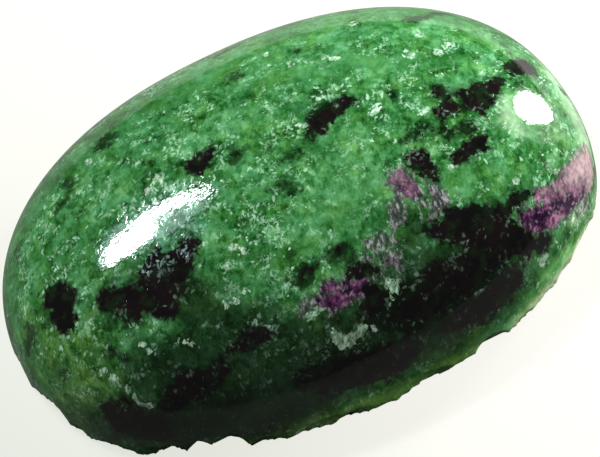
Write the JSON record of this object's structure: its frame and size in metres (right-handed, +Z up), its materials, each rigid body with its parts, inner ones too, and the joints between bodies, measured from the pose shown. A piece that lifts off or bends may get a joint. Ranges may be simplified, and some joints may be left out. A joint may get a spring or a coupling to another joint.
{
  "type": "ruby in zoisite cabochon",
  "caption": "Polished oval cabochon of ruby in zoisite: a steep dome of green stone with black hornblende and pink ruby patches, on a flat sawn back with a chipped rim.",
  "frame": {"origin": "centre of the flat sawn back, on the surface that the stone rests on", "axes": "+X along the oval, +Y across it, +Z up through the crown of the dome"},
  "size_m": [0.025, 0.018, 0.0062],
  "materials": {
    "ruby_in_zoisite": "polished"
  },
  "bodies": {
    "root": {"cabochon": "ruby_in_zoisite"}
  },
  "joints": []
}
